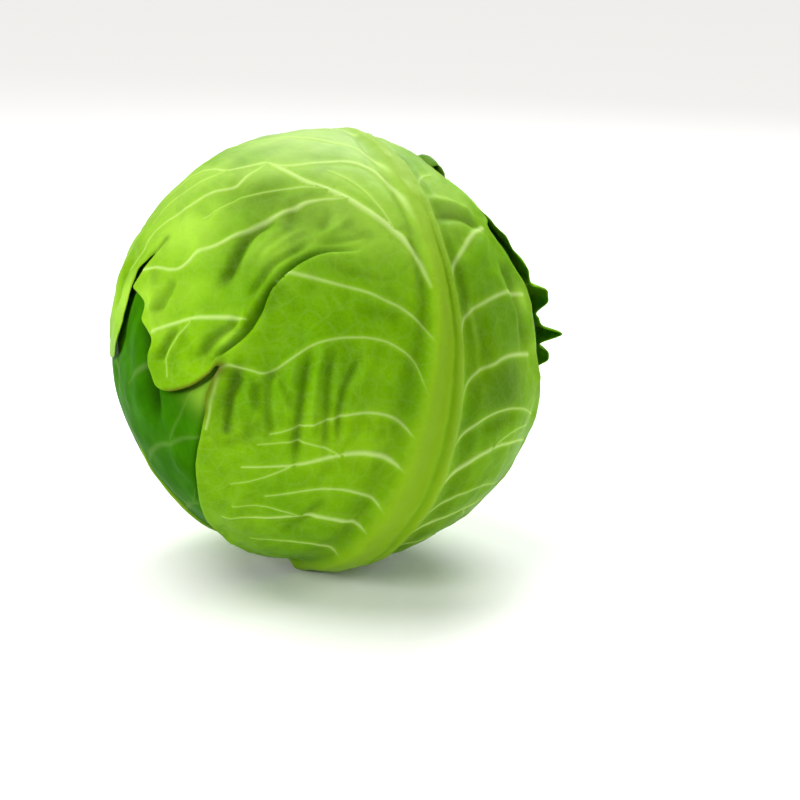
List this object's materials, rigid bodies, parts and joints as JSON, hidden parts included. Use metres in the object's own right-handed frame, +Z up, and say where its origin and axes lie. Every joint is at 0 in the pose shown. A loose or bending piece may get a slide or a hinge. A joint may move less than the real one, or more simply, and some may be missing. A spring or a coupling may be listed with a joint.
{
  "type": "cabbage head",
  "caption": "Round green cabbage head of overlapping cupped leaves with pale veins, standing on its cut stem.",
  "frame": {"origin": "centre of the cut face of the stem, on the surface that the head stands on", "axes": "+Z up through the core from the cut stem to the top of the head, -Y towards the side that shows the front leaf, +X to that side's right"},
  "size_m": [0.1788, 0.1775, 0.1806],
  "materials": {
    "front_leaf": "waxy, satin",
    "back_leaf": "waxy, satin",
    "left_leaf": "waxy, satin",
    "right_leaf": "waxy, satin",
    "under_leaf": "waxy, satin",
    "heart_leaf": "moist, satin",
    "core": "moist cut plant tissue"
  },
  "bodies": {
    "root": {"front_leaf": "front_leaf", "back_leaf": "back_leaf", "left_leaf": "left_leaf", "right_leaf": "right_leaf", "back_left_leaf": "under_leaf", "inner_front_leaf": "under_leaf", "heart_leaf_01": "heart_leaf", "heart_leaf_02": "heart_leaf", "heart_leaf_03": "heart_leaf", "heart_leaf_04": "heart_leaf", "heart_leaf_05": "heart_leaf", "heart_leaf_06": "heart_leaf", "heart_leaf_07": "heart_leaf", "heart_leaf_08": "heart_leaf", "heart_leaf_09": "heart_leaf", "heart_bud": "heart_leaf", "core_stem": "core"}
  },
  "joints": []
}
